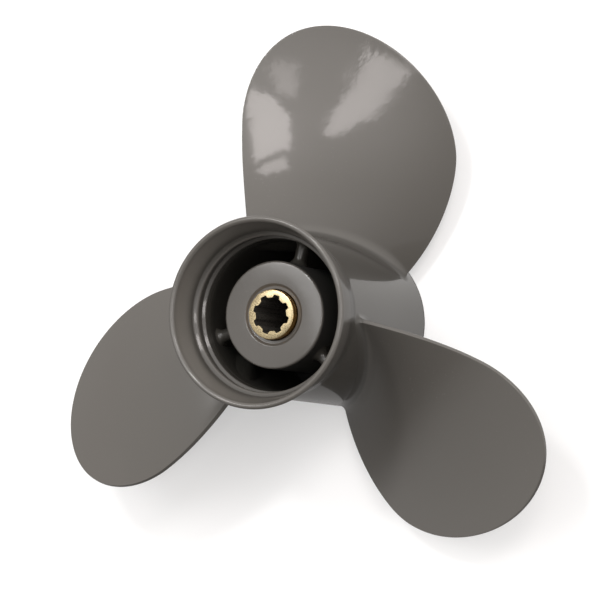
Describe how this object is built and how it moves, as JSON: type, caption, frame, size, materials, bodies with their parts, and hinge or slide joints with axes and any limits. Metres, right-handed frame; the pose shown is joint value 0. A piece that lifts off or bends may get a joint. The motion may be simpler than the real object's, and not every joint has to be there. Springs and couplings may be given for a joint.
{
  "type": "outboard motor propeller",
  "caption": "Right-hand outboard motor propeller with a flared through-hub exhaust barrel, skewed round blades, a rubber bush and a splined brass sleeve.",
  "frame": {"origin": "the centre of volume, on the propeller's axis, 38 mm above the front rim that it stands on", "axes": "+Z along the propeller's axis towards the aft end, +Y along blade 1's centre line, +X to the right seen from the aft end"},
  "size_m": [0.2132, 0.1992, 0.089],
  "materials": {
    "casting_paint": "cast aluminium under smooth glossy warm grey paint",
    "bush_rubber": "moulded black rubber",
    "sleeve_brass": "machined and broached brass"
  },
  "bodies": {
    "root": {"exhaust_barrel": "casting_paint", "inner_boss": "casting_paint", "rib_1": "casting_paint", "rib_2": "casting_paint", "rib_3": "casting_paint", "blade_1": "casting_paint", "blade_2": "casting_paint", "blade_3": "casting_paint", "rubber_bush": "bush_rubber", "spline_sleeve": "sleeve_brass"}
  },
  "joints": []
}
